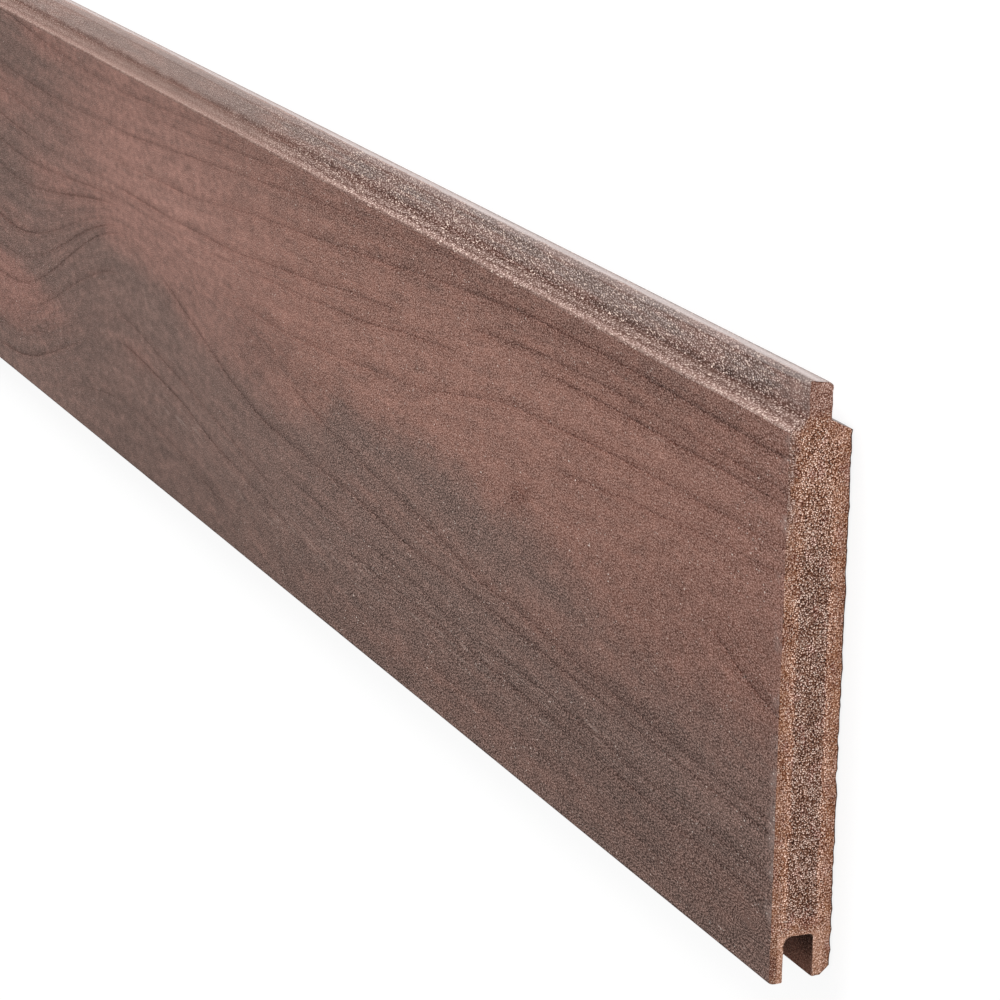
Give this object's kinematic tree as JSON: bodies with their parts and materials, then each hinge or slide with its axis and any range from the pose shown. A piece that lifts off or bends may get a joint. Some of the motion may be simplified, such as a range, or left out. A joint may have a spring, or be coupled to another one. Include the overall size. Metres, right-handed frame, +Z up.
{
  "type": "composite fence board",
  "caption": "Solid wood-plastic composite fence board with a tongue along one long edge and a groove along the other, wood-grain show face and plain sawn ends.",
  "frame": {"origin": "under the middle of the board, on the plane of the back face it lies on", "axes": "+X along the board, +Y across it towards the tongue, +Z up out of the show face"},
  "size_m": [1.8, 0.1599, 0.018],
  "materials": {
    "composite": "matt extruded wood-plastic composite, grey-brown with red-brown patches, fine sandy texture and thin dark grain lines"
  },
  "bodies": {
    "root": {"fence_board": "composite"}
  },
  "joints": []
}
